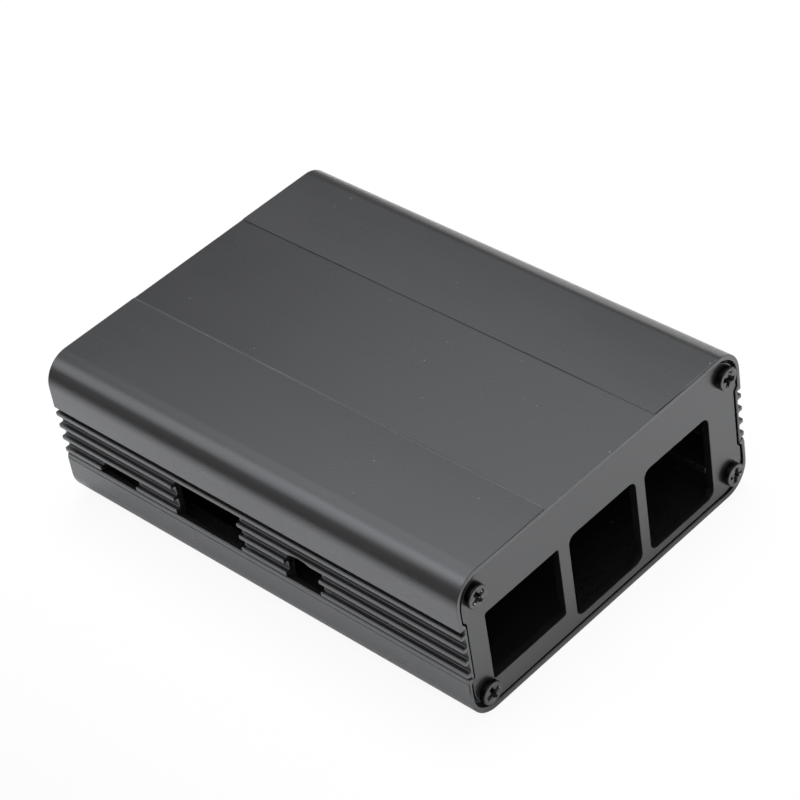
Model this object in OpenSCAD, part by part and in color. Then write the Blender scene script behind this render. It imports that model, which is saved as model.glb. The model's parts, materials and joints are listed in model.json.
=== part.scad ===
// Black anodised case for a single-board computer: two extruded shells, two end plates and their screws.
// X runs along the case towards the port windows, Y across it away from the side openings, Z up.
// The origin is at the middle of the underside.

/* [Case] */
// Length over the ends of the shells
case_l = 90.6; // [80:0.1:110]
// Width over the fins
case_w = 66.8; // [65:0.1:80]
// Height over the top
case_h = 29.0; // [27:0.1:36]
// Radius of the four long outer corners
corner_r = 5; // [3:0.1:6]

/* [Walls] */
// Side wall left behind the grooves
side_wall = 1.3; // [1:0.1:2]
// Thickness of the top
top_wall = 2.0; // [1.4:0.1:3]
// Thickness of the floor
floor_wall = 2.0; // [1.4:0.1:2.2]

/* [Fins] */
// Fins on each side
fin_count = 4; // [2:2:4]
// Height from one fin to the next
fin_pitch = 2.6; // [2.4:0.05:2.8]
// Width of a fin at its tip
fin_tip = 1.2; // [0.9:0.05:1.3]
// Depth of the grooves between the fins
groove_depth = 0.9; // [0.7:0.05:1.1]
// Height of a groove at its bottom
groove_floor = 0.8; // [0.5:0.05:1]

/* [Band along the top] */
// Width of the shallow band
band_w = 26; // [10:0.5:40]
// Depth of the shallow band
band_depth = 0.2; // [0.1:0.05:0.4]

/* [Seam] */
// How far the sloped upper edge of the lower shell reaches down from the seam
seam_edge = 0.95; // [0.7:0.05:1.2]
// Thickness of the tongue under the upper shell
tongue_t = 0.6; // [0.4:0.05:0.8]
// Height of the tongue
tongue_h = 1.0; // [0.6:0.1:1.2]
// Clearance around the tongue
tongue_gap = 0.1; // [0.05:0.05:0.2]

/* [End plates] */
// Lip of the shells at the sides of a plate
lip = 0.7; // [0.5:0.05:1]
// Lip of the shells above and below a plate
lip_high = 1.0; // [0.7:0.05:1.3]
// Lip where a groove runs out at the end
lip_at_groove = 0.45; // [0.3:0.05:0.6]
// Height over which the lip steps in beside the fins
lip_step_h = 0.8; // [0.3:0.1:1.2]
// Plate thickness
plate_t = 1.5; // [1:0.1:2]
// How far a plate lies inside the end of the shells
plate_recess = 0.2; // [0.1:0.05:1]
// Clearance between a plate and the lip
plate_gap = 0.35; // [0.1:0.05:0.4]
// Corner radius of a plate
plate_corner_r = 5; // [3:0.1:6]

/* [Board that the case holds] */
// Board length
board_l = 85; // [80:0.1:86]
// Board width
board_w = 56; // [50:0.1:57]
// Board thickness
board_t = 1.5; // [1.2:0.1:1.8]
// Distance of the board's middle from the middle of the case, towards the far side
board_shift = -1.75; // [-2:0.05:0]
// How far the ledges are below the seam
ledge_drop = 1.4; // [1.2:0.1:1.8]
// Thickness of the ledges
ledge_t = 1.4; // [1:0.1:2]
// How far a ledge reaches under the edge of the board
ledge_reach = 1.0; // [0.5:0.1:2]

/* [Port windows] */
// The plate is fitted upside down, with its windows low
plate_turned = true; // [true, false]
// Network window: middle, from the near edge of the board
network_at = 10.25; // [10:0.05:11]
// Network window: width
network_w = 16.8; // [15:0.1:17]
// Network window: height
network_h = 13.8; // [12:0.1:15]
// Network window: lower edge above the board, with the plate the right way up
network_rise = 0.4; // [0:0.1:1]
// Network window: corner radius
network_r = 0.5; // [0.2:0.1:1.5]
// Stacked port windows: middle of the first, from the near edge of the board
stacked_at = 29; // [28.5:0.05:29.5]
// Stacked port windows: distance from one to the next
stacked_pitch = 18; // [17.5:0.05:19]
// Stacked port windows: how many
stacked_count = 2; // [1:1:2]
// Stacked port windows: width
stacked_w = 15.9; // [14:0.1:16.5]
// Stacked port windows: height
stacked_h = 16.75; // [15:0.05:18]
// Stacked port windows: lower edge above the board, with the plate the right way up
stacked_rise = 0.1; // [0:0.1:0.8]
// Stacked port windows: corner radius
stacked_r = 1.5; // [0.5:0.1:2.5]

/* [Side openings] */
// Power opening: middle, from the card end of the board
power_at = 10.3; // [9:0.1:12]
// Power opening: width
power_w = 8.6; // [7:0.1:10]
// Power opening: height above the seam
power_h = 2.9; // [2.2:0.1:3.5]
// Video opening: middle, from the card end of the board
video_at = 32.4; // [31:0.1:34]
// Video opening: width
video_w = 14.0; // [12:0.1:17]
// Video opening: height above the seam
video_h = 8.1; // [6:0.1:9]
// Corner radius of the power and video openings
port_r = 0.5; // [0.2:0.1:1]
// Audio opening: middle, from the card end of the board
audio_at = 53.3; // [52:0.1:55]
// Audio opening: width
audio_w = 7.5; // [6:0.1:9]
// Audio opening: height above the seam
audio_h = 7.5; // [6:0.1:9]
// Audio opening: radius of its arched top
audio_r = 2.5; // [1:0.1:3]

/* [Card slot] */
// Width of the memory card slot
card_slot_w = 14; // [12:0.1:20]
// Height of the memory card slot
card_slot_h = 3; // [2:0.1:4]
// Middle of the memory card slot, below the board
card_drop = 0.75; // [0.5:0.05:1]

/* [Screws] */
// Screw diameter
screw_d = 2.5; // [2:0.1:3]
// Screw length under the head
screw_l = 6; // [4:0.5:10]
// Head diameter
head_d = 4.1; // [3.8:0.1:5]
// Head height
head_h = 1.1; // [1:0.1:1.8]
// Radius of the head's upper edge
head_edge_r = 0.4; // [0.2:0.1:0.6]
// Length of the cross recess
recess_span = 2.8; // [2:0.1:3]
// Width of the cross recess
recess_w = 0.7; // [0.4:0.05:0.9]
// Depth of the cross recess
recess_depth = 0.7; // [0.4:0.1:0.8]
// Screw axis, from the side of the case
screw_inset_y = 3.8; // [3.6:0.1:4.2]
// Screw axis, from the top or the underside of the case
screw_inset_z = 4.4; // [4:0.1:6]
// Clearance around a screw in its plate
plate_hole_gap = 0.2; // [0.1:0.05:0.4]
// Clearance around a screw in its channel
thread_gap = 0.05; // [0.02:0.01:0.1]
// Wall of a screw channel
channel_wall = 1.0; // [0.8:0.1:1.5]

/* [Hidden] */
$fn = 64;

// Colours of the anodised aluminium and of the blackened steel
ANODISED = "#3a3b3e";
ANODISED_PLATE = "#45464a";
BLACK_STEEL = "#2c2c2e";

// Overlap that keeps cuts and joins clean
cut = 1;
join = 0.2;

half_w = case_w / 2;
mid_z = case_h / 2;
inner_y = half_w - groove_depth - side_wall;
ceiling_z = case_h - top_wall;

// Fins and grooves
fins_half_h = fin_count / 2 * fin_pitch;
groove_half_open = (fin_pitch - fin_tip) / 2;
grooved_half_h = fins_half_h + groove_half_open;
seam_z = mid_z - fins_half_h;

// Ends
lip_step = groove_depth + lip_at_groove - lip;
rebate_depth = plate_t + plate_recess;
plate_face_x = case_l / 2 - plate_recess;

// Board and ledges
board_near_y = board_shift - board_w / 2;
board_far_y = board_shift + board_w / 2;
board_card_x = -board_l / 2;
ledge_z = seam_z - ledge_drop;
board_face_z = ledge_z + board_t;

// Screws and their channels
screw_y = half_w - screw_inset_y;
screw_low_z = screw_inset_z;
screw_high_z = case_h - screw_inset_z;
channel_bore_d = screw_d + 2 * thread_gap;
channel_r = channel_bore_d / 2 + channel_wall;

// How far each cross recess happens to be turned: near low, far low, near high, far high
port_end_turns = [15, -14, 26, -23];
card_end_turns = [8, 37, -19, 30];

// Stand a section drawn in Y and Z up along X
module along_x(length) {
    rotate([90, 0, 90]) linear_extrude(length, center = true) children();
}

// Repeat what is drawn on the far side on the near side too
module both_sides() {
    children();
    mirror([1, 0]) children();
}

module rounded_square(w, h, r) {
    square([w - 2 * r, h], center = true);
    square([w, h - 2 * r], center = true);
    for (x = [-1, 1], y = [-1, 1])
        translate([x * (w / 2 - r), y * (h / 2 - r)]) circle(r);
}

// One groove, open towards +Y at the surface of the side, with its lower edge as far down as given
module groove(low_edge) {
    polygon([
        [cut, groove_half_open],
        [0, groove_half_open],
        [-groove_depth, groove_floor / 2],
        [-groove_depth, -groove_floor / 2],
        [0, -low_edge],
        [cut, -low_edge]
    ]);
}

// Outer section of the closed case
module case_outline() {
    difference() {
        translate([0, mid_z]) rounded_square(case_w, case_h, corner_r);
        both_sides()
            for (i = [0 : fin_count])
                translate([half_w, seam_z + i * fin_pitch]) groove(i == 0 ? seam_edge : groove_half_open);
        translate([-band_w / 2, case_h - band_depth]) square([band_w, band_depth + cut]);
    }
}

// Section of the walls, with the hollow inside
module wall_section() {
    difference() {
        case_outline();
        translate([-inner_y, floor_wall]) square([2 * inner_y, ceiling_z - floor_wall]);
    }
}

// Outline at the ends, inside the lip or with a gap to it: it steps in beside the fins
module end_outline(gap, r) {
    edge_y = half_w - lip - gap;
    step_start = grooved_half_h + lip_step_h / 2;
    step_end = grooved_half_h - lip_step_h / 2;
    difference() {
        translate([0, mid_z]) rounded_square(2 * edge_y, case_h - 2 * (lip_high + gap), r);
        both_sides()
            translate([edge_y, mid_z]) polygon([
                [cut, step_start],
                [0, step_start],
                [-lip_step, step_end],
                [-lip_step, -step_end],
                [0, -step_start],
                [cut, -step_start]
            ]);
    }
}

// Screw channel in a lower corner: a pad with one rounded corner, grown from the side and from the
// floor or top, which is as thick as given
module channel_pad(wall) {
    pad_y = inner_y + join - screw_y;
    pad_z = screw_inset_z - wall + join;
    translate([screw_y, screw_inset_z]) {
        circle(channel_r);
        translate([-channel_r, -pad_z]) square([channel_r + pad_y, pad_z]);
        translate([0, -pad_z]) square([pad_y, pad_z + channel_r]);
    }
}

module channel_bores() {
    both_sides()
        for (z = [screw_low_z, screw_high_z])
            translate([screw_y, z]) circle(d = channel_bore_d);
}

// Region above the seam
module above_seam() {
    translate([-case_w, seam_z]) square([2 * case_w, case_h]);
}

// Tongue that drops from the upper shell behind the wall of the lower one, or the room for it
module tongue(gap) {
    translate([inner_y - gap, seam_z - tongue_h - gap])
        square([tongue_t + 2 * gap, tongue_h + gap + join]);
}

module upper_section() {
    difference() {
        union() {
            intersection() {
                wall_section();
                above_seam();
            }
            both_sides() {
                tongue(0);
                translate([0, case_h]) mirror([0, 1]) channel_pad(top_wall);
            }
        }
        channel_bores();
    }
}

module lower_section() {
    difference() {
        union() {
            difference() {
                wall_section();
                above_seam();
            }
            both_sides() channel_pad(floor_wall);
            ledges();
        }
        both_sides() tongue(tongue_gap);
        channel_bores();
    }
}

// The two ledges that the board lies on
module ledges() {
    near_end = board_near_y + ledge_reach;
    far_end = board_far_y - ledge_reach;
    translate([-inner_y - join, ledge_z - ledge_t]) square([near_end + inner_y + join, ledge_t]);
    translate([far_end, ledge_z - ledge_t]) square([inner_y + join - far_end, ledge_t]);
}

// Room for the plates at both ends
module end_rebates() {
    for (side = [-1, 1])
        translate([side * (case_l / 2 - rebate_depth / 2 + cut / 2), 0, 0])
            along_x(rebate_depth + cut) end_outline(0, corner_r - lip);
}

// A side opening: a notch cut up from the seam, with rounded upper corners
module side_opening(at, w, h, r) {
    notch_low = seam_z - tongue_h - cut;
    notch_depth = half_w - inner_y + 2 * cut;
    translate([board_card_x + at, -half_w - cut, 0]) rotate([90, 0, 0]) translate([0, 0, -notch_depth])
        linear_extrude(notch_depth) {
            translate([-w / 2, notch_low]) square([w, seam_z + h - r - notch_low]);
            translate([-w / 2 + r, notch_low]) square([w - 2 * r, seam_z + h - notch_low]);
            for (x = [-1, 1])
                translate([x * (w / 2 - r), seam_z + h - r]) circle(r);
        }
}

module upper_shell() {
    color(ANODISED) difference() {
        along_x(case_l) upper_section();
        end_rebates();
        side_opening(power_at, power_w, power_h, port_r);
        side_opening(video_at, video_w, video_h, port_r);
        side_opening(audio_at, audio_w, audio_h, audio_r);
    }
}

module lower_shell() {
    color(ANODISED) difference() {
        along_x(case_l) lower_section();
        end_rebates();
    }
}

// A blank end plate with its screw holes
module plate_section() {
    difference() {
        end_outline(plate_gap, plate_corner_r);
        both_sides()
            for (z = [screw_low_z, screw_high_z])
                translate([screw_y, z]) circle(d = screw_d + 2 * plate_hole_gap);
    }
}

// A rounded window, placed from the near edge of the board and from its upper face
module window(at, rise, w, h, r) {
    upright_z = board_face_z + rise + h / 2;
    translate([board_near_y + at, plate_turned ? case_h - upright_z : upright_z]) rounded_square(w, h, r);
}

module port_plate() {
    color(ANODISED_PLATE)
        translate([plate_face_x - plate_t / 2, 0, 0]) along_x(plate_t) difference() {
            plate_section();
            window(network_at, network_rise, network_w, network_h, network_r);
            for (i = [0 : stacked_count - 1])
                window(stacked_at + i * stacked_pitch, stacked_rise, stacked_w, stacked_h, stacked_r);
        }
}

module card_plate() {
    slot_r = card_slot_h / 2;
    color(ANODISED_PLATE)
        translate([-plate_face_x + plate_t / 2, 0, 0]) along_x(plate_t) difference() {
            plate_section();
            translate([board_shift, ledge_z - card_drop]) {
                square([card_slot_w - card_slot_h, card_slot_h], center = true);
                for (y = [-1, 1])
                    translate([y * (card_slot_w / 2 - slot_r), 0]) circle(slot_r);
            }
        }
}

// One pan-head screw along +Z, with the seat of its head at the origin
module screw(turn) {
    edge = head_d / 2 - head_edge_r;
    difference() {
        union() {
            translate([0, 0, -screw_l]) cylinder(h = screw_l + join, d = screw_d);
            rotate_extrude() {
                square([edge, head_h]);
                square([head_d / 2, head_h - head_edge_r]);
                translate([edge, head_h - head_edge_r]) circle(head_edge_r);
            }
        }
        translate([0, 0, head_h - recess_depth]) rotate(turn) for (arm = [0, 90])
            rotate(arm) translate([-recess_span / 2, -recess_w / 2, 0])
                cube([recess_span, recess_w, recess_depth + cut]);
    }
}

// The four screws of the plate at the +X end
module plate_screws(turns) {
    color(BLACK_STEEL)
        for (far = [0, 1], high = [0, 1])
            translate([plate_face_x, (2 * far - 1) * screw_y, high ? screw_high_z : screw_low_z])
                rotate([0, 90, 0]) screw(turns[far + 2 * high]);
}

module port_plate_screws() {
    plate_screws(port_end_turns);
}

module card_plate_screws() {
    mirror([1, 0, 0]) plate_screws(card_end_turns);
}

upper_shell();
lower_shell();
port_plate();
card_plate();
port_plate_screws();
card_plate_screws();
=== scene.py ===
# Black anodised case for a single-board computer: finish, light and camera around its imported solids.
import json
import math

import bmesh
import bpy
from mathutils import Matrix, Quaternion, Vector

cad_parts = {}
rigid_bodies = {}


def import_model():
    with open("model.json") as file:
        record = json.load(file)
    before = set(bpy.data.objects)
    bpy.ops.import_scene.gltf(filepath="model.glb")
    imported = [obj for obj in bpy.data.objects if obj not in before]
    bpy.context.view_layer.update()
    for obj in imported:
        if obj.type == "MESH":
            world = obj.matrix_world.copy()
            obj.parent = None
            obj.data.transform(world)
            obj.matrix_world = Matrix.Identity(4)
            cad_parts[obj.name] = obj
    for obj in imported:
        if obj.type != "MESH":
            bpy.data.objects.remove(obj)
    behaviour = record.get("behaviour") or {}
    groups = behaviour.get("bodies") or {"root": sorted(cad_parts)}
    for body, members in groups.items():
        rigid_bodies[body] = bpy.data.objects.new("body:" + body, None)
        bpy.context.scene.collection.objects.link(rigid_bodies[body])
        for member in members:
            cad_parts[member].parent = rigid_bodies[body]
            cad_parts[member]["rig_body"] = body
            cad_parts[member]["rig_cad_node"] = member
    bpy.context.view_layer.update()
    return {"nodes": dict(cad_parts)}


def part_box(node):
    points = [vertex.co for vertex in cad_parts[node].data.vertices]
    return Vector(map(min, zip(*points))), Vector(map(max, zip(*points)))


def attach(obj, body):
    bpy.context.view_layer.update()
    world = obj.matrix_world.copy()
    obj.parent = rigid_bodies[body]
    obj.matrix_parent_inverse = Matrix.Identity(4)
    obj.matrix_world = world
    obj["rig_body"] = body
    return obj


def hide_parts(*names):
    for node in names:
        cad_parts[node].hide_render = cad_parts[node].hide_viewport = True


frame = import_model()

MM = 0.001
PICTURE_SIDE = 800

# Camera, as the photograph was taken
CAMERA_AZIMUTH = 49.14
CAMERA_ELEVATION = 39.68
CAMERA_ROLL = -9.76
CAMERA_DISTANCE = 475.78 * MM
CAMERA_ASIDE = -1.03 * MM
CAMERA_RISE = 14.57 * MM
CAMERA_FOCUS = 2870.5
CAMERA_NEAREST = 0.01
CAMERA_FARTHEST = 50
SENSOR_WIDTH = 36.0

# White paper under and behind the case, and beyond it a grey table that is painted shade for the light
# falling off away from the case
PAPER_MIDDLE = (-0.10, 0.154, 0)
PAPER_HALF = (0.18, 0.20, 0)
PAINTED_FALLOFF_WIDTH = 0.09
PAPER_WHITE = 0.92
TABLE_PAINTED_FALLOFF = 0.15
FLOOR_SIDE = 8
SEEN_WHITE = 0.92
MIRRORED_WHITE = 0.1

# Light of the room and its cool soft boxes
ROOM_LIGHT = 0.22
WHITE = (1, 1, 1, 1)
COOL = (0.96, 0.99, 1.05)
OVERHEAD_TURN = math.radians(11)

# Edges of the shells and plates, broken by the tumbling before they were anodised
SHELL_EDGE = 0.18 * MM
PLATE_EDGE = 0.10 * MM
EDGE_SEGMENTS = 3
SHARP_ANGLE = math.radians(30)
FLAT_ANGLE = math.radians(0.5)
WELD_DISTANCE = 0.001 * MM
SAME_PLACE = 0.05 * MM
FLAT_WEIGHT = 100

# Tools that cut reach past what they cut
PAST = 1.0 * MM
CUTTER_LENGTH = 100 * MM
CLEAN_CUT = 0.01 * MM

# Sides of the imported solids, before they are squared: depth of a groove and the edges beside it
SOLID_GROOVE = 0.9 * MM
SOLID_BAND_RISE = 0.7 * MM
SOLID_ROOT_RISE = 0.4 * MM
SOLID_SLOPE_LOW = 0.95 * MM
SOLID_STEP_LOW = 0.4 * MM

# Square grooves between the fins, with a small radius at the root
SEAM_HEIGHT = 9.3 * MM
FIN_PITCH = 2.6 * MM
FIN_COUNT = 4
FIN_BELOW = 0.6 * MM
FIN_ABOVE = 0.25 * MM
GROOVE_DEPTH = 0.92 * MM
ROOT_RADIUS = 0.2 * MM
ROOT_SEGMENTS = 4
ROOT_LOWER = 0.1 * MM
UPPER_BAND_EDGE = 19.6 * MM

# Openings in the near side, along the case from its middle
WALL_INSIDE = 31.2 * MM
AUDIO_MIDDLE = 10.8 * MM
AUDIO_WIDTH = 7.6 * MM
AUDIO_ARCH_RADIUS = 6.5 * MM
AUDIO_ARCH_SIDES = 160
AUDIO_CUT_DEPTH = 5.0 * MM
AUDIO_TOP = 15.83 * MM
AUDIO_FILL = (8.2 * MM, 13.9 * MM, 17.1 * MM)
VIDEO_END = -18.2 * MM
VIDEO_WIDEN = 2.0 * MM
VIDEO_LOW = 7.0 * MM
VIDEO_TOP = 17.4 * MM

# Shallow band along the top, with painted light along its two edges: a painted highlight on the near slope
# and lighter paint on the shaded far step, strongest towards the card end
BAND_HALF = 13.0 * MM
BAND_DEPTH = 0.2 * MM
BAND_SLOPE = 0.5 * MM
BAND_MARGIN = 0.1
FAR_SLOPE = 0.05 * MM
NEAR_PAINTED_HIGHLIGHT = 1.0
FAR_PAINTED_LIGHT = 0.8
BAND_EDGE_PAINTED_LIGHT = (0.07, 0.07, 0.072, 1)
PAINTED_LIGHT_FROM = -5 * MM
PAINTED_LIGHT_TO = 25 * MM
PAINTED_LIGHT_LEAST = 0.35

# Plates pushed up under the lip of the upper shell, as their screws hold them
PLATE_RISE = 0.33 * MM
PLATE_RADIUS = 5.0 * MM
HOLE_REACH = 1.7 * MM

# Narrow strip of the lower shell under the seam, set back a little, with a fine line below it
STRIP_SETBACK = 0.18 * MM
STRIP_LOW = 8.7 * MM
STRIP_STEP_RISE = 0.1 * MM
STRIP_LIP = 0.2 * MM
STRIP_LIP_INSET = 0.1 * MM
LINE_WIDTH = 0.16 * MM

# Pan head screws with a cross recess
HEAD_RADIUS = 2.05 * MM
HEAD_HEIGHT = 1.1 * MM
HEAD_EDGE = 0.22 * MM
HEAD_EDGE_SEGMENTS = 6
HEAD_SIDES = 64
SHANK_RADIUS = 1.25 * MM
SHANK_LENGTH = 6.0 * MM
SHANK_TIP = 0.3 * MM
RECESS_SPAN = 2.8 * MM
RECESS_WIDTH = 0.85 * MM
RECESS_DEPTH = 1.0 * MM
RECESS_TAPER = 0.5
RECESS_HEART = 0.72 * MM
RECESS_HEART_TAPER = 0.65
RECESS_HEART_SIDES = 32
RECESS_EDGE = 0.05 * MM
RECESS_EDGE_SEGMENTS = 2
RECESS_SHARP = math.radians(35)
RECESS_REACH = 0.55
RECESS_MARGIN = 0.02 * MM
PORT_END_TURNS = (15, -14, 26, -23)
CARD_END_TURNS = (8, 37, -19, 30)

# Dust and hair scratches on the anodised pieces, and how far their sheen varies
DUST_COLOUR = (0.2, 0.2, 0.2, 1)
DUST_SPECKS = 320.0
SCRATCH_STRENGTH = 0.02
DRIFT_SHARE = 0.75
STREAK_SHARE = 0.25
DRIFT_SHEEN = 0.025
LINE_SHEEN = 0.006

# Blackened steel of the screws: as dyed, grey on the flat of the heads against black sides, partly wear and
# partly painted shade on the sides, and rubbed bright in the recess
STEEL_BLACK = (0.03, 0.03, 0.03, 1)
STEEL_WORN_AND_PAINTED_GREY = (0.16, 0.16, 0.155, 1)
STEEL_BRIGHT = (0.8, 0.79, 0.77, 1)


def add_node(tree, kind, inputs=None, **settings):
    """A shader node with its settings, and with the values or links of its inputs."""
    made = tree.nodes.new(kind)
    for name, value in settings.items():
        setattr(made, name, value)
    for name, value in (inputs or {}).items():
        socket = made.inputs[name]
        if isinstance(value, bpy.types.NodeSocket):
            tree.links.new(value, socket)
        else:
            socket.default_value = value
    return made


def new_group(name, inputs, outputs):
    """A node group with its named inputs (numbers or vectors) and its named number outputs."""
    tree = bpy.data.node_groups.new(name, "ShaderNodeTree")
    for label, value in inputs.items():
        kind = "NodeSocketVector" if isinstance(value, tuple) else "NodeSocketFloat"
        tree.interface.new_socket(name=label, in_out="INPUT", socket_type=kind).default_value = value
    for label in outputs:
        tree.interface.new_socket(name=label, in_out="OUTPUT", socket_type="NodeSocketFloat")
    return tree, add_node(tree, "NodeGroupInput").outputs


def use_group(tree, group, **inputs):
    """A group placed in a material with that material's own values."""
    placed = add_node(tree, "ShaderNodeGroup", node_tree=group)
    for label, value in inputs.items():
        placed.inputs[label].default_value = value
    return placed.outputs


def sums(tree, operation, first, second):
    """The result of one sum on two numbers or sockets."""
    return add_node(tree, "ShaderNodeMath", {0: first, 1: second}, operation=operation).outputs[0]


def vector_sums(tree, operation, *terms):
    """A node for one sum on vectors, given or from sockets."""
    return add_node(tree, "ShaderNodeVectorMath", dict(enumerate(terms)), operation=operation)


def object_place(tree):
    """The place on the piece, in the frame of the whole case."""
    return add_node(tree, "ShaderNodeTexCoord").outputs["Object"]


def between(tree, value, low, high, to_low, to_high):
    """A value carried from one range to another, and held at its ends."""
    return add_node(tree, "ShaderNodeMapRange", {"Value": value, "From Min": low, "From Max": high,
                                                 "To Min": to_low, "To Max": to_high}).outputs["Result"]


def blast_group():
    """Fine grain of a blasted surface, with a slow drift of the dye."""
    tree, entry = new_group("blasted_grain", {"Grain": 6000.0, "Drift": 60.0}, ("Grain", "Drift"))
    place = object_place(tree)
    grain = add_node(tree, "ShaderNodeTexNoise", {"Vector": place, "Scale": entry["Grain"], "Detail": 3.0,
                                                  "Roughness": 0.6})
    drift = add_node(tree, "ShaderNodeTexNoise", {"Vector": place, "Scale": entry["Drift"], "Detail": 4.0,
                                                  "Roughness": 0.55})
    add_node(tree, "NodeGroupOutput", {"Grain": grain.outputs["Fac"], "Drift": drift.outputs["Fac"]})
    return tree


def die_line_group():
    """Faint lines that run one way, as a die or a roller leaves them."""
    inputs = {"Stretch": (0.01, 1.0, 1.0), "Lines": 1500.0}
    tree, entry = new_group("drawn_lines", inputs, ("Lines", "Streaks"))
    drawn = vector_sums(tree, "MULTIPLY", object_place(tree), entry["Stretch"]).outputs[0]
    fine = add_node(tree, "ShaderNodeTexNoise", {"Vector": drawn, "Scale": entry["Lines"],
                                                 "Detail": 3.0, "Roughness": 0.6})
    coarse_scale = sums(tree, "MULTIPLY", entry["Lines"], 0.15)
    coarse = add_node(tree, "ShaderNodeTexNoise", {"Vector": drawn, "Scale": coarse_scale,
                                                   "Detail": 2.0, "Roughness": 0.5})
    add_node(tree, "NodeGroupOutput", {"Lines": fine.outputs["Fac"], "Streaks": coarse.outputs["Fac"]})
    return tree


def dust_group():
    """Sparse pale specks of dust."""
    tree, entry = new_group("dust_specks", {"Specks": 400.0, "Size": 0.06, "Share": 0.3}, ("Mask",))
    cells = add_node(tree, "ShaderNodeTexVoronoi", {"Vector": object_place(tree), "Scale": entry["Specks"]})
    speck = sums(tree, "LESS_THAN", cells.outputs["Distance"], entry["Size"])
    chance = add_node(tree, "ShaderNodeSeparateColor", {"Color": cells.outputs["Color"]})
    kept = sums(tree, "LESS_THAN", chance.outputs["Red"], entry["Share"])
    weight = sums(tree, "MULTIPLY", chance.outputs["Green"], kept)
    add_node(tree, "NodeGroupOutput", {"Mask": sums(tree, "MULTIPLY", speck, weight)})
    return tree


def scratch_group():
    """A few hair-fine scratches, each only part of its line."""
    tree, entry = new_group("hair_scratches", {"Scratches": 60.0, "Width": 0.004, "Share": 0.6}, ("Mask",))
    place = object_place(tree)
    turned = add_node(tree, "ShaderNodeMapping", {"Vector": place, "Rotation": (0.3, 0.2, 0.7),
                                                  "Scale": (0.25, 1.0, 1.0)})
    lines = add_node(tree, "ShaderNodeTexVoronoi",
                     {"Vector": turned.outputs[0], "Scale": entry["Scratches"]},
                     feature="DISTANCE_TO_EDGE")
    thin = sums(tree, "LESS_THAN", lines.outputs["Distance"], entry["Width"])
    patches = add_node(tree, "ShaderNodeTexNoise", {"Vector": place, "Scale": 90.0, "Detail": 1.0})
    kept = sums(tree, "GREATER_THAN", patches.outputs["Fac"], entry["Share"])
    add_node(tree, "NodeGroupOutput", {"Mask": sums(tree, "MULTIPLY", thin, kept)})
    return tree


def new_material(name):
    """A material with its Principled BSDF joined to the output."""
    material = bpy.data.materials.new(name)
    material.use_nodes = True
    tree = material.node_tree
    tree.nodes.clear()
    shader = add_node(tree, "ShaderNodeBsdfPrincipled")
    add_node(tree, "ShaderNodeOutputMaterial", {"Surface": shader.outputs["BSDF"]})
    return material, tree, shader.inputs


def mixed_colour(tree, share, first, second):
    """The first colour, with a share of the second mixed in."""
    return add_node(tree, "ShaderNodeMix", {0: share, 6: first, 7: second}, data_type="RGBA").outputs[2]


def fine_relief(tree, shader, height, strength, depth):
    """A faint relief of the surface, from a height that changes over it."""
    bump = add_node(tree, "ShaderNodeBump", {"Height": height, "Strength": strength, "Distance": depth})
    tree.links.new(bump.outputs["Normal"], shader["Normal"])


def anodised(name, dark, light, roughness, ior, grain, lines, stretch):
    """Dyed anodised aluminium: a dark even skin with grain, drawn lines, dust and a few scratches, and
    painted light on the faces marked at the band's edges.
    """
    material, tree, shader = new_material(name)
    blast = use_group(tree, blasted_grain, Grain=grain, Drift=60.0)
    drawn = use_group(tree, drawn_lines, Stretch=stretch, Lines=lines)
    dust = use_group(tree, dust_specks, Specks=DUST_SPECKS, Size=0.045, Share=0.4)["Mask"]
    scratch = use_group(tree, hair_scratches, Scratches=45.0, Width=0.0012, Share=0.64)["Mask"]
    tone = sums(tree, "ADD",
                sums(tree, "MULTIPLY", blast["Drift"], DRIFT_SHARE),
                sums(tree, "MULTIPLY", drawn["Streaks"], STREAK_SHARE))
    skin = mixed_colour(tree, between(tree, tone, 0.3, 0.7, 0.0, 1.0), dark, light)
    # Painted light on the band's edges: the marked faces get a lighter colour, a painted highlight on the
    # near slope and lighter paint on the shaded far step, in patches, fading from the card end towards the
    # port end.
    wear_and_painted_light = add_node(tree, "ShaderNodeAttribute", attribute_name="wear_and_painted_light").outputs["Fac"]
    along = add_node(tree, "ShaderNodeSeparateXYZ", {0: object_place(tree)}).outputs["X"]
    painted_light_patches = between(tree, blast["Drift"], 0.4, 0.6, 0.6, 1.0)
    painted_light_fading = sums(tree, "MULTIPLY", painted_light_patches, between(tree, along, PAINTED_LIGHT_FROM, PAINTED_LIGHT_TO, 1.0, PAINTED_LIGHT_LEAST))
    rubbed_and_painted_light = mixed_colour(tree, sums(tree, "MULTIPLY", wear_and_painted_light, painted_light_fading), skin, BAND_EDGE_PAINTED_LIGHT)
    marked = sums(tree, "MAXIMUM", dust, sums(tree, "MULTIPLY", scratch, SCRATCH_STRENGTH))
    tree.links.new(mixed_colour(tree, marked, rubbed_and_painted_light, DUST_COLOUR), shader["Base Color"])
    satin = between(tree, tone, 0.25, 0.75, roughness - DRIFT_SHEEN, roughness + DRIFT_SHEEN)
    lined = between(tree, drawn["Lines"], 0.2, 0.8, -LINE_SHEEN, LINE_SHEEN)
    tree.links.new(sums(tree, "ADD", satin, lined), shader["Roughness"])
    fine_relief(tree, shader, blast["Grain"], strength=0.01, depth=0.02 * MM)
    shader["IOR"].default_value = ior
    return material


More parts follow.
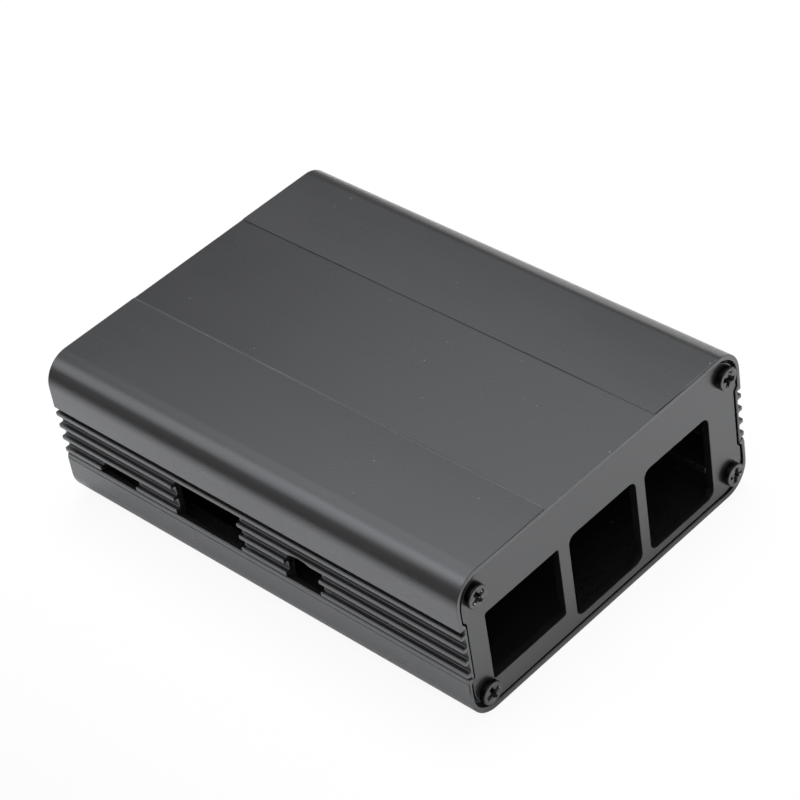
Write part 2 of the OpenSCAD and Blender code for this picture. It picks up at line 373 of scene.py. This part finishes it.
def black_steel():
    """Blackened steel, grey on the flat of the heads and black on their sides, partly wear and partly
    painted shade, and rubbed bright where the driver bites.
    """
    material, tree, shader = new_material("black_steel")
    blast = use_group(tree, blasted_grain, Grain=9000.0, Drift=900.0)
    # The flat of each head is painted lighter grey and its sides kept black, chosen by the way each face
    # turns: partly wear, partly painted shade on the sides.
    normal = add_node(tree, "ShaderNodeNewGeometry").outputs["True Normal"]
    facing = add_node(tree, "ShaderNodeSeparateXYZ", {"Vector": normal}).outputs["X"]
    flat = between(tree, sums(tree, "ABSOLUTE", facing, 0.0), 0.75, 0.98, 0.0, 1.0)
    patches = between(tree, blast["Drift"], 0.35, 0.7, 0.6, 1.0)
    recess = add_node(tree, "ShaderNodeAttribute", attribute_name="recess").outputs["Fac"]
    outside = sums(tree, "SUBTRACT", 1.0, recess)
    wear_and_painted_light = sums(tree, "MULTIPLY", outside, sums(tree, "MULTIPLY", flat, patches))
    rubbed_and_painted_light = sums(tree, "MULTIPLY", recess, between(tree, blast["Drift"], 0.55, 0.62, 0.0, 1.0))
    black = mixed_colour(tree, wear_and_painted_light, STEEL_BLACK, STEEL_WORN_AND_PAINTED_GREY)
    tree.links.new(mixed_colour(tree, rubbed_and_painted_light, black, STEEL_BRIGHT), shader["Base Color"])
    tree.links.new(between(tree, blast["Grain"], 0.2, 0.8, 0.26, 0.38), shader["Roughness"])
    fine_relief(tree, shader, blast["Grain"], strength=0.1, depth=0.01 * MM)
    shader["Metallic"].default_value = 1.0
    return material


def deselect_all():
    """Nothing selected, so that the next operator acts only on what is picked."""
    for obj in bpy.context.view_layer.objects:
        obj.select_set(False)


def make_active(obj):
    """One object selected and active, for the operators that follow."""
    deselect_all()
    obj.select_set(True)
    bpy.context.view_layer.objects.active = obj


def pick(piece, kind, wanted):
    """In edit mode, select only the faces or edges whose middle and corners are the wanted ones."""
    mesh = bmesh.from_edit_mesh(piece.data)
    bpy.ops.mesh.select_all(action="DESELECT")
    bpy.ops.mesh.select_mode(type="FACE" if kind == "faces" else "EDGE")
    for part in getattr(mesh, kind):
        middle = sum((v.co for v in part.verts), Vector()) / len(part.verts)
        if wanted(middle, part.verts):
            part.select_set(True)
    bmesh.update_edit_mesh(piece.data)


def smooth_with_flat_faces(piece):
    """Smooth shading that leaves the flat faces flat."""
    make_active(piece)
    bpy.ops.object.shade_smooth()
    flat = piece.modifiers.new("flat_faces", "WEIGHTED_NORMAL")
    flat.mode = "FACE_AREA"
    flat.weight = FLAT_WEIGHT
    bpy.ops.object.modifier_apply(modifier=flat.name)


def break_edges(piece, edge, segments, sharp):
    """Round the sharp edges of a piece."""
    make_active(piece)
    bevel = piece.modifiers.new("broken_edges", "BEVEL")
    bevel.width = edge
    bevel.segments = segments
    bevel.limit_method = "ANGLE"
    bevel.angle_limit = sharp
    bevel.use_clamp_overlap = False
    bpy.ops.object.modifier_apply(modifier=bevel.name)


def stand_for(piece, node, material):
    """Give a piece its finish and let it take the place of a CAD node."""
    piece.name = node + "_finished"
    piece.data.materials.clear()
    piece.data.materials.append(material)
    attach(piece, "root")
    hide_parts(node)


def near(value, wanted):
    """Whether two measures are the same, apart from rounding."""
    return abs(value - wanted) < SAME_PLACE


def long_edges(piece, y, z):
    """Select the long edges at this distance from the middle plane and this height."""
    def on_line(middle, verts):
        return all(near(v.co.y, y) and near(v.co.z, z) for v in verts)

    pick(piece, "edges", on_line)


def groove_cutter(side, half_width, low, high):
    """A cutter for one groove along a side, with its inner edges rounded."""
    reach = GROOVE_DEPTH + PAST
    bar_middle = half_width - GROOVE_DEPTH + reach / 2
    deselect_all()
    bpy.ops.mesh.primitive_cube_add(size=1, scale=(CUTTER_LENGTH, reach, high - low),
                                    location=(0, side * bar_middle, (low + high) / 2))
    bar = bpy.context.view_layer.objects.active
    bpy.ops.object.transform_apply()
    bpy.ops.object.mode_set(mode="EDIT")
    half_depth = half_width - GROOVE_DEPTH / 2
    pick(bar, "edges", lambda middle, verts: abs(middle.y) < half_depth and abs(middle.x) < PAST)
    bpy.ops.mesh.bevel(offset=ROOT_RADIUS, segments=ROOT_SEGMENTS, affect="EDGES")
    bpy.ops.object.mode_set(mode="OBJECT")
    return bar


def box_tool(low, high):
    """A plain box between two corners, to add or to cut away."""
    deselect_all()
    middle = (Vector(low) + Vector(high)) / 2
    bpy.ops.mesh.primitive_cube_add(size=1, location=middle, scale=Vector(high) - Vector(low))
    bpy.ops.object.transform_apply()
    return bpy.context.view_layer.objects.active


def arch_tool(half_width):
    """A cutter with straight sides and a low arch, for the audio opening."""
    cut_middle = AUDIO_CUT_DEPTH / 2 - half_width - PAST
    deselect_all()
    bpy.ops.mesh.primitive_cylinder_add(vertices=AUDIO_ARCH_SIDES, radius=AUDIO_ARCH_RADIUS,
                                        depth=AUDIO_CUT_DEPTH, rotation=(math.pi / 2, 0, 0),
                                        location=(AUDIO_MIDDLE, cut_middle, AUDIO_TOP - AUDIO_ARCH_RADIUS))
    arch = bpy.context.view_layer.objects.active
    bpy.ops.object.transform_apply()
    bpy.ops.object.mode_set(mode="EDIT")
    for side in (-1, 1):
        bpy.ops.mesh.select_all(action="SELECT")
        bpy.ops.mesh.bisect(plane_co=(AUDIO_MIDDLE + side * AUDIO_WIDTH / 2, 0, 0), plane_no=(side, 0, 0),
                            use_fill=True, clear_outer=True)
    bpy.ops.object.mode_set(mode="OBJECT")
    return arch


def upper_form(shell):
    """The upper shell before its edges are broken: a plain top, square grooves and the side openings."""
    half_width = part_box("upper_shell")[1][1]
    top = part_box("upper_shell")[1][2]
    bpy.ops.object.mode_set(mode="EDIT")
    pick(shell, "faces", lambda middle, verts: all(near(v.co.z, top - BAND_DEPTH) for v in verts))
    bpy.ops.transform.translate(value=(0, 0, BAND_DEPTH))
    tidy_mesh()
    bpy.ops.object.mode_set(mode="OBJECT")
    fill_width, fill_low, fill_high = AUDIO_FILL
    filling = box_tool((AUDIO_MIDDLE - fill_width / 2, -half_width, fill_low),
                       (AUDIO_MIDDLE + fill_width / 2, -WALL_INSIDE, fill_high))
    combine(shell, filling, "UNION")
    square_grooves(shell, half_width)
    widening = box_tool((VIDEO_END, -half_width - PAST, VIDEO_LOW),
                        (VIDEO_END + VIDEO_WIDEN, -WALL_INSIDE + PAST, VIDEO_TOP))
    cut_away(shell, widening)
    make_active(shell)
    bpy.ops.object.mode_set(mode="EDIT")
    tidy_mesh()
    bpy.ops.object.mode_set(mode="OBJECT")


def shallow_band(shell):
    """Sink the band along the top, steep at its far edge and sloped at its near one, and mark both edges
    for painted light.
    """
    high_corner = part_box("upper_shell")[1]
    past_end = high_corner[0] + PAST
    top = high_corner[2]
    slope_foot = BAND_SLOPE - BAND_HALF
    far_foot = BAND_HALF - FAR_SLOPE
    tool = box_tool((-past_end, slope_foot, top - BAND_DEPTH), (past_end, far_foot, top + BAND_DEPTH))
    bpy.ops.object.mode_set(mode="EDIT")
    long_edges(tool, slope_foot, top + BAND_DEPTH)
    bpy.ops.transform.translate(value=(0, -2 * BAND_SLOPE, 0))
    long_edges(tool, far_foot, top + BAND_DEPTH)
    bpy.ops.transform.translate(value=(0, 2 * FAR_SLOPE, 0))
    bpy.ops.object.mode_set(mode="OBJECT")
    cut_away(shell, tool)
    # Mark the faces of the two edges: a painted highlight on the near slope, and painted light on the far
    # step wall.
    mark = shell.data.attributes.new("wear_and_painted_light", "FLOAT", "FACE")
    lowest = top - (1 - BAND_MARGIN) * BAND_DEPTH
    highest = top - BAND_MARGIN * BAND_DEPTH
    for face in shell.data.polygons:
        painted_light = 0.0
        if lowest < face.center.z < highest:
            if -BAND_HALF < face.center.y < slope_foot:
                painted_light = NEAR_PAINTED_HIGHLIGHT
            elif far_foot < face.center.y < BAND_HALF:
                painted_light = FAR_PAINTED_LIGHT
        mark.data[face.index].value = painted_light


def upper_detail(shell):
    """What stays crisp on the upper shell: the arch of the audio opening and the band along the top."""
    cut_away(shell, arch_tool(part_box("upper_shell")[1][1]))
    shallow_band(shell)


def tidy_mesh():
    """In edit mode, merge double points and the pieces of flat faces."""
    bpy.ops.mesh.select_all(action="SELECT")
    bpy.ops.mesh.remove_doubles(threshold=WELD_DISTANCE)
    bpy.ops.mesh.dissolve_limited(angle_limit=FLAT_ANGLE)


def square_grooves(shell, half_width):
    """Bring the edge of the upper band down, and cut the grooves square above every fin."""
    make_active(shell)
    groove_middle = SEAM_HEIGHT + FIN_COUNT * FIN_PITCH
    band_edge = groove_middle + SOLID_BAND_RISE
    root_edge = groove_middle + SOLID_ROOT_RISE
    bpy.ops.object.mode_set(mode="EDIT")
    for side in (-1, 1):
        long_edges(shell, side * half_width, band_edge)
        bpy.ops.transform.translate(value=(0, 0, UPPER_BAND_EDGE - band_edge))
        long_edges(shell, side * (half_width - SOLID_GROOVE), root_edge)
        bpy.ops.transform.translate(value=(0, 0, UPPER_BAND_EDGE - ROOT_LOWER - root_edge))
    bpy.ops.object.mode_set(mode="OBJECT")
    for fin in range(FIN_COUNT):
        low = SEAM_HEIGHT + (fin + 0.5) * FIN_PITCH + FIN_ABOVE
        next_fin = SEAM_HEIGHT + (fin + 1.5) * FIN_PITCH - FIN_BELOW
        high = (UPPER_BAND_EDGE if fin == FIN_COUNT - 1 else next_fin) + CLEAN_CUT
        for side in (-1, 1):
            cut_away(shell, groove_cutter(side, half_width, low, high))


def seam_strip(shell):
    """Bring the upper edge of the lower shell out, so that a steep strip is left under the seam."""
    half_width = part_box("lower_shell")[1][1]
    groove_bottom = half_width - SOLID_GROOVE
    lip_start = groove_bottom + STRIP_LIP_INSET
    slope_low = SEAM_HEIGHT - SOLID_SLOPE_LOW
    bpy.ops.object.mode_set(mode="EDIT")
    for side in (-1, 1):
        long_edges(shell, side * half_width, slope_low)
        bpy.ops.transform.translate(value=(0, 0, STRIP_LOW - slope_low))
        long_edges(shell, side * groove_bottom, SEAM_HEIGHT)
        bpy.ops.transform.translate(value=(0, side * (SOLID_GROOVE - STRIP_SETBACK), 0))
        long_edges(shell, side * groove_bottom, SEAM_HEIGHT - SOLID_STEP_LOW)
        out = side * (SOLID_GROOVE - STRIP_SETBACK / 2)
        bpy.ops.transform.translate(value=(0, out, STRIP_STEP_RISE))
        seam_faces(shell, side, groove_bottom - SOLID_GROOVE)
        bpy.ops.mesh.bisect(plane_co=(0, side * lip_start, 0), plane_no=(0, 1, 0))
        seam_faces(shell, side, lip_start - CLEAN_CUT)
        bpy.ops.mesh.extrude_region_move(TRANSFORM_OT_translate={"value": (0, 0, STRIP_LIP)})
    bpy.ops.mesh.select_all(action="SELECT")
    bpy.ops.mesh.dissolve_limited(angle_limit=FLAT_ANGLE)
    bpy.ops.object.mode_set(mode="OBJECT")


def seam_faces(shell, side, from_y):
    """Select the faces of the seam on one side, from this distance outwards."""
    def on_seam(middle, verts):
        return all(near(v.co.z, SEAM_HEIGHT) and side * v.co.y > from_y for v in verts)

    pick(shell, "faces", on_seam)


def part_shoulders(shell):
    """Part the shoulders behind the plates at half height, so that each face has a plain form."""
    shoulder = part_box("port_plate")[0][0]
    make_active(shell)
    bpy.ops.object.mode_set(mode="EDIT")
    pick(shell, "faces", lambda middle, verts: all(near(abs(v.co.x), shoulder) for v in verts))
    bpy.ops.mesh.bisect(plane_co=(0, 0, SEAM_HEIGHT / 2), plane_no=(0, 0, 1))
    bpy.ops.object.mode_set(mode="OBJECT")


def lower_form(shell):
    """The lower shell before its edges are broken."""
    part_shoulders(shell)
    seam_strip(shell)


def plate_form(plate):
    """Bring the upper edge of a plate and its rounded corners up, close under the lip."""
    screws_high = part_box("port_plate_screws")[1]
    hole_y = screws_high[1] - HEAD_RADIUS
    hole_z = screws_high[2] - HEAD_RADIUS
    corner_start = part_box("port_plate")[1][2] - PLATE_RADIUS - CLEAN_CUT

    def on_upper_rim(middle, verts):
        from_hole = math.hypot(abs(middle.y) - hole_y, middle.z - hole_z)
        return from_hole > HOLE_REACH and all(v.co.z > corner_start for v in verts)

    make_active(plate)
    bpy.ops.object.mode_set(mode="EDIT")
    pick(plate, "faces", on_upper_rim)
    bpy.ops.transform.translate(value=(0, 0, PLATE_RISE))
    bpy.ops.object.mode_set(mode="OBJECT")


def strip_line(shell):
    """Score a fine line along the lower edge of the strip."""
    half_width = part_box("lower_shell")[1][1]
    for side in (-1, 1):
        deselect_all()
        bpy.ops.mesh.primitive_cube_add(size=1, scale=(CUTTER_LENGTH, LINE_WIDTH, LINE_WIDTH),
                                        rotation=(math.pi / 4, 0, 0),
                                        location=(0, side * half_width, STRIP_LOW))
        scriber = bpy.context.view_layer.objects.active
        bpy.ops.object.transform_apply()
        cut_away(shell, scriber)


def soft_edged(node, edge, material, shape, detail=None):
    """A piece in place of a CAD node: its form refined, its sharp edges broken, then its crisp details."""
    make_active(frame["nodes"][node])
    bpy.ops.object.duplicate()
    piece = bpy.context.view_layer.objects.active
    piece.parent = None
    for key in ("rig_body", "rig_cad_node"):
        del piece[key]
    bpy.ops.object.mode_set(mode="EDIT")
    bpy.ops.mesh.select_all(action="SELECT")
    bpy.ops.mesh.customdata_custom_splitnormals_clear()
    tidy_mesh()
    bpy.ops.object.mode_set(mode="OBJECT")
    shape(piece)
    break_edges(piece, edge, EDGE_SEGMENTS, SHARP_ANGLE)
    if detail:
        detail(piece)
    smooth_with_flat_faces(piece)
    stand_for(piece, node, material)


def combine(piece, tool, operation):
    """Add a tool's form to a piece or take it away, and remove the tool."""
    make_active(piece)
    joined = piece.modifiers.new("tool", "BOOLEAN")
    joined.operation = operation
    joined.solver = "EXACT"
    joined.object = tool
    bpy.ops.object.modifier_apply(modifier=joined.name)
    bpy.data.objects.remove(tool)


def cut_away(piece, cutter):
    """Take a tool's form out of a piece."""
    combine(piece, cutter, "DIFFERENCE")


def recess_arm(turn):
    """A cutter for one arm of the cross recess, narrower towards its floor."""
    deselect_all()
    bpy.ops.mesh.primitive_cube_add(size=1, location=(0, 0, HEAD_HEIGHT), rotation=(0, 0, turn),
                                    scale=(RECESS_SPAN, RECESS_WIDTH, 2 * RECESS_DEPTH))
    arm = bpy.context.view_layer.objects.active
    bpy.ops.object.transform_apply()
    bpy.ops.object.mode_set(mode="EDIT")
    pick(arm, "faces", lambda middle, verts: middle.z < HEAD_HEIGHT - RECESS_DEPTH / 2)
    bpy.ops.transform.resize(value=(RECESS_TAPER, RECESS_TAPER, 1), center_override=(0, 0, 0))
    pick(arm, "faces", lambda middle, verts: middle.z > HEAD_HEIGHT + RECESS_DEPTH / 2)
    bpy.ops.transform.resize(value=(2 - RECESS_TAPER, 2 - RECESS_TAPER, 1), center_override=(0, 0, 0))
    bpy.ops.object.mode_set(mode="OBJECT")
    return arm


def recess_heart():
    """A cutter for the pointed middle of the cross recess."""
    deselect_all()
    bpy.ops.mesh.primitive_cone_add(vertices=RECESS_HEART_SIDES,
                                    radius1=(1 - RECESS_HEART_TAPER) * RECESS_HEART,
                                    radius2=(1 + RECESS_HEART_TAPER) * RECESS_HEART,
                                    depth=2 * RECESS_DEPTH, location=(0, 0, HEAD_HEIGHT))
    heart = bpy.context.view_layer.objects.active
    bpy.ops.object.transform_apply()
    return heart


def cross_screw():
    """One screw that stands upright with the underside of its head at the origin."""
    deselect_all()
    bpy.ops.mesh.primitive_cylinder_add(vertices=HEAD_SIDES, radius=HEAD_RADIUS, depth=HEAD_HEIGHT,
                                        location=(0, 0, HEAD_HEIGHT / 2))
    screw = bpy.context.view_layer.objects.active
    bpy.ops.object.transform_apply()
    bpy.ops.object.mode_set(mode="EDIT")
    pick(screw, "edges", lambda middle, verts: near(middle.z, HEAD_HEIGHT))
    bpy.ops.mesh.bevel(offset=HEAD_EDGE, segments=HEAD_EDGE_SEGMENTS, affect="EDGES")
    pick(screw, "faces", lambda middle, verts: near(middle.z, 0))
    bpy.ops.mesh.inset(thickness=HEAD_RADIUS - SHANK_RADIUS)
    bpy.ops.mesh.extrude_region_move(TRANSFORM_OT_translate={"value": (0, 0, -SHANK_LENGTH)})
    pick(screw, "edges", lambda middle, verts: all(near(v.co.z, -SHANK_LENGTH) for v in verts))
    bpy.ops.mesh.bevel(offset=SHANK_TIP, segments=1, affect="EDGES")
    bpy.ops.object.mode_set(mode="OBJECT")
    cut_away(screw, recess_arm(0))
    cut_away(screw, recess_arm(math.pi / 2))
    cut_away(screw, recess_heart())
    break_edges(screw, RECESS_EDGE, RECESS_EDGE_SEGMENTS, RECESS_SHARP)
    smooth_with_flat_faces(screw)
    mark = screw.data.attributes.new("recess", "FLOAT", "FACE")
    for face in screw.data.polygons:
        sunk = 0 < face.center.z < HEAD_HEIGHT - RECESS_MARGIN
        within = face.center.xy.length < RECESS_REACH * RECESS_SPAN
        mark.data[face.index].value = 1.0 if sunk and within else 0.0
    return screw


def plate_screws(pattern, node, plate, end, turns, material):
    """Four copies of the screw at a plate's corners, each turned as it was left, in one piece."""
    low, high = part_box(node)
    plate_low, plate_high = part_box(plate)
    seat = plate_high[0] if end > 0 else plate_low[0]
    aside = high[1] - HEAD_RADIUS
    copies = []
    for index, turn in enumerate(turns):
        y = aside if index % 2 else -aside
        z = high[2] - HEAD_RADIUS if index > 1 else low[2] + HEAD_RADIUS
        make_active(pattern)
        bpy.ops.object.duplicate()
        copy = bpy.context.view_layer.objects.active
        copy.matrix_world = (Matrix.Translation((seat, y, z))
                             @ Matrix.Rotation(end * math.pi / 2, 4, "Y")
                             @ Matrix.Rotation(end * math.radians(turn), 4, "Z"))
        bpy.ops.object.transform_apply()
        copies.append(copy)
    make_active(copies[0])
    for copy in copies:
        copy.select_set(True)
    bpy.ops.object.join()
    screws = bpy.context.view_layer.objects.active
    stand_for(screws, node, material)


def photo_camera():
    """The camera of the photograph, with its tilt."""
    azimuth, elevation, roll = (math.radians(a) for a in (CAMERA_AZIMUTH, CAMERA_ELEVATION, CAMERA_ROLL))
    level = Vector((math.cos(azimuth), math.sin(azimuth), 0))
    back = Vector((math.sin(azimuth) * math.cos(elevation),
                   -math.cos(azimuth) * math.cos(elevation),
                   math.sin(elevation)))
    upright = back.cross(level)
    right = math.cos(roll) * level + math.sin(roll) * upright
    up = math.cos(roll) * upright - math.sin(roll) * level
    data = bpy.data.cameras.new("photo_camera")
    data.sensor_width = SENSOR_WIDTH
    data.lens = CAMERA_FOCUS * SENSOR_WIDTH / PICTURE_SIDE
    data.clip_start = CAMERA_NEAREST
    data.clip_end = CAMERA_FARTHEST
    camera = bpy.data.objects.new("photo_camera", data)
    bpy.context.scene.collection.objects.link(camera)
    camera.matrix_world = Matrix.Translation(
        right * CAMERA_ASIDE + up * CAMERA_RISE + back * CAMERA_DISTANCE
    ) @ Matrix((right, up, back)).transposed().to_4x4()
    bpy.context.scene.camera = camera


def white_floor():
    """A wide floor, seen white, that keeps a faint shadow and is pale only where the paper lies; its grey
    beyond the paper is painted shade for the light falling off.
    """
    deselect_all()
    bpy.ops.mesh.primitive_plane_add(size=FLOOR_SIDE, location=(0, 0, 0))
    floor = bpy.context.view_layer.objects.active
    floor.name = "floor"
    material = bpy.data.materials.new("white_floor")
    material.use_nodes = True
    tree = material.node_tree
    tree.nodes.clear()
    centred = vector_sums(tree, "SUBTRACT", object_place(tree), PAPER_MIDDLE).outputs[0]
    aside = vector_sums(tree, "ABSOLUTE", centred).outputs[0]
    past = vector_sums(tree, "SUBTRACT", aside, PAPER_HALF).outputs[0]
    beyond = vector_sums(tree, "MAXIMUM", past, (0, 0, 0)).outputs[0]
    away = vector_sums(tree, "LENGTH", beyond).outputs["Value"]
    # Painted shade: the floor is paper white near the case and grey beyond, standing in for the light
    # falling off away from the case.
    paper_and_painted_falloff = between(tree, away, 0.0, PAINTED_FALLOFF_WIDTH, PAPER_WHITE, TABLE_PAINTED_FALLOFF)
    paper = add_node(tree, "ShaderNodeBsdfDiffuse", {"Color": paper_and_painted_falloff})
    ray = add_node(tree, "ShaderNodeLightPath").outputs
    glow = add_node(tree, "ShaderNodeEmission",
                    {"Color": sums(tree, "MAXIMUM", ray["Is Camera Ray"], paper_and_painted_falloff), "Strength": 1.0})
    seen = sums(tree, "MULTIPLY", ray["Is Camera Ray"], SEEN_WHITE)
    mirrored = sums(tree, "MULTIPLY", ray["Is Glossy Ray"], MIRRORED_WHITE)
    white = sums(tree, "ADD", seen, mirrored)
    mixed = add_node(tree, "ShaderNodeMixShader", {0: white, 1: paper.outputs[0], 2: glow.outputs[0]})
    add_node(tree, "ShaderNodeOutputMaterial", {"Surface": mixed.outputs[0]})
    floor.data.materials.append(material)


def soft_box(name, centre, aim, width, height, radiance, colour=(1, 1, 1), turn=0.0):
    """An area lamp of an even radiance, aimed at a point and turned about that line."""
    data = bpy.data.lights.new(name, "AREA")
    data.shape = "RECTANGLE"
    data.size = width
    data.size_y = height
    data.energy = radiance * math.pi * width * height
    data.color = colour
    lamp = bpy.data.objects.new(name, data)
    bpy.context.scene.collection.objects.link(lamp)
    lamp.location = centre
    aimed = (Vector(aim) - Vector(centre)).to_track_quat("-Z", "Y")
    lamp.rotation_euler = (aimed @ Quaternion((0, 0, 1), turn)).to_euler()
    return lamp


def studio_light():
    """A dim room with soft boxes above and around the case, and white behind it."""
    world = bpy.data.worlds.new("studio")
    bpy.context.scene.world = world
    world.use_nodes = True
    tree = world.node_tree
    tree.nodes.clear()
    room = add_node(tree, "ShaderNodeBackground", {"Color": WHITE, "Strength": ROOM_LIGHT})
    paper = add_node(tree, "ShaderNodeBackground", {"Color": WHITE, "Strength": 1.0})
    ray = add_node(tree, "ShaderNodeLightPath")
    mixed = add_node(tree, "ShaderNodeMixShader",
                     {0: ray.outputs["Is Camera Ray"], 1: room.outputs[0], 2: paper.outputs[0]})
    add_node(tree, "ShaderNodeOutputWorld", {"Surface": mixed.outputs[0]})
    case_middle = (0, 0, 0.02)
    soft_box("overhead_soft_box", centre=(-0.07, 0.03, 1.0), aim=(-0.07, 0.03, 0),
             width=1.48, height=1.8, radiance=0.96, colour=COOL, turn=OVERHEAD_TURN)
    soft_box("key_soft_box", centre=(-0.61, -0.47, 0.66), aim=case_middle,
             width=0.44, height=0.55, radiance=1.05, colour=COOL)
    soft_box("front_soft_box", centre=(0.75, -0.55, 0.95), aim=case_middle,
             width=1.0, height=1.0, radiance=0.6)
    paper_light = soft_box("top_soft_box", centre=(-0.1, 0.2, 1.0), aim=case_middle,
                           width=0.4, height=0.4, radiance=9.0)
    paper_light.visible_glossy = False
    soft_box("back_card", centre=(-0.02, 0.6, 0.16), aim=(-0.02, 0, 0.16),
             width=0.88, height=0.3, radiance=0.9)


blasted_grain = blast_group()
drawn_lines = die_line_group()
dust_specks = dust_group()
hair_scratches = scratch_group()

shell_finish = anodised("anodised_shell", dark=(0.009, 0.0093, 0.01, 1), light=(0.012, 0.0123, 0.013, 1),
                        roughness=0.28, ior=2.1, grain=6000.0, lines=1500.0, stretch=(0.01, 1.0, 1.0))
plate_finish = anodised("anodised_plate", dark=(0.005, 0.005, 0.005, 1), light=(0.008, 0.008, 0.008, 1),
                        roughness=0.31, ior=1.95, grain=7000.0, lines=2500.0, stretch=(1.0, 0.02, 1.0))
screw_finish = black_steel()

soft_edged("upper_shell", SHELL_EDGE, shell_finish, upper_form, upper_detail)
soft_edged("lower_shell", SHELL_EDGE, shell_finish, lower_form, strip_line)
soft_edged("port_plate", PLATE_EDGE, plate_finish, plate_form)
soft_edged("card_plate", PLATE_EDGE, plate_finish, plate_form)
screw_pattern = cross_screw()
plate_screws(screw_pattern, "port_plate_screws", "port_plate", 1, PORT_END_TURNS, screw_finish)
plate_screws(screw_pattern, "card_plate_screws", "card_plate", -1, CARD_END_TURNS, screw_finish)
bpy.data.objects.remove(screw_pattern)

photo_camera()
white_floor()
studio_light()
bpy.context.scene.view_settings.view_transform = "Standard"
